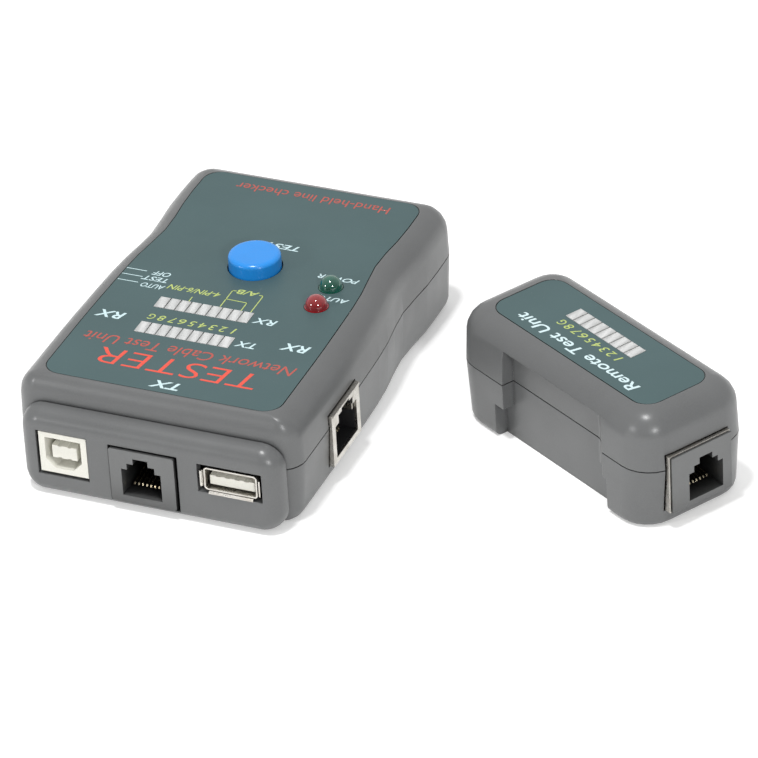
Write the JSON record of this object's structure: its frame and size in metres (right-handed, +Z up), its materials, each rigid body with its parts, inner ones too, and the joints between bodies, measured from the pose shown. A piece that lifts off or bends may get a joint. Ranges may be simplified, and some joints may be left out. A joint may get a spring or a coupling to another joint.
{
  "type": "network cable tester",
  "caption": "Two-piece hand-held cable tester: a waisted main unit with data sockets, light rows, lamps and a push button, and a loose remote terminator.",
  "frame": {"origin": "on the underside of the main unit, on its middle line, halfway between the connector face and the far end of the case, level with the surface it lies on", "axes": "+Z up out of the label, -Y towards the main unit's connector face, +X towards the side with the shielded socket and the remote"},
  "size_m": [0.1613, 0.1108, 0.0316],
  "materials": {
    "shell_grey": "satin textured grey ABS",
    "label_green": "printed slate-green film",
    "light_window": "milky translucent",
    "lamp_green": "green tinted lens",
    "lamp_red": "red tinted lens",
    "button_blue": "gloss",
    "black_plastic": "matte",
    "board_green": "solder mask",
    "nickel": "nickel plated",
    "contact_gold": "gold flash",
    "ivory": "satin",
    "battery_jacket": "satin",
    "lead_red": "insulation",
    "lead_black": "insulation"
  },
  "bodies": {
    "main_unit": {"top_shell": "shell_grey", "bottom_shell": "shell_grey", "front_panel": "shell_grey", "main_label": "label_green", "tx_light_bar": "light_window", "rx_light_bar": "light_window", "power_lamp_green": "lamp_green", "auto_lamp_red": "lamp_red", "tact_switch": "black_plastic", "main_board": "board_green", "main_chip": "black_plastic", "board_screw_1": "nickel", "board_screw_2": "nickel", "case_screw_1": "nickel", "case_screw_2": "nickel", "case_screw_3": "nickel", "case_screw_4": "nickel", "usb_b_housing": "ivory", "usb_b_shield": "nickel", "usb_a_shell": "nickel", "usb_a_tongue": "ivory", "tx_jack": "shell_grey", "tx_jack_contacts": "contact_gold", "rx_jack_shield": "nickel", "rx_jack_insert": "black_plastic", "rx_jack_contacts": "contact_gold", "left_jack": "shell_grey", "left_jack_contacts": "contact_gold", "mode_switch_body": "nickel", "battery": "battery_jacket", "battery_snap": "black_plastic", "battery_lead_red": "lead_red", "battery_lead_black": "lead_black"},
    "button": {"test_button": "button_blue"},
    "mode_switch": {"mode_switch_knob": "black_plastic"},
    "battery_cover": {"battery_door": "shell_grey"},
    "remote_unit": {"remote_top_shell": "shell_grey", "remote_bottom_shell": "shell_grey", "remote_label": "label_green", "remote_light_bar": "light_window", "remote_board": "board_green", "remote_chip": "black_plastic", "remote_jack_shield": "nickel", "remote_jack": "shell_grey", "remote_jack_contacts": "contact_gold", "remote_screw_1": "nickel", "remote_screw_2": "nickel"}
  },
  "joints": [
    {"name": "test_button_press", "type": "slide", "parent": "main_unit", "child": "button", "axis": [0, 0, -1], "range_m": [0, 0.0015], "stiffness_N_per_m": 400, "springref_m": -0.001},
    {"name": "mode_switch_slide", "type": "slide", "parent": "main_unit", "child": "mode_switch", "axis": [0, -1, 0], "range_m": [0, 0.0052]},
    {"name": "battery_door_slide", "type": "slide", "parent": "main_unit", "child": "battery_cover", "axis": [0, 1, 0], "range_m": [0, 0.03]},
    {"name": "remote_lift_off", "type": "slide", "parent": "main_unit", "child": "remote_unit", "axis": [0, 0, 1], "range_m": [0, 0.03]}
  ]
}
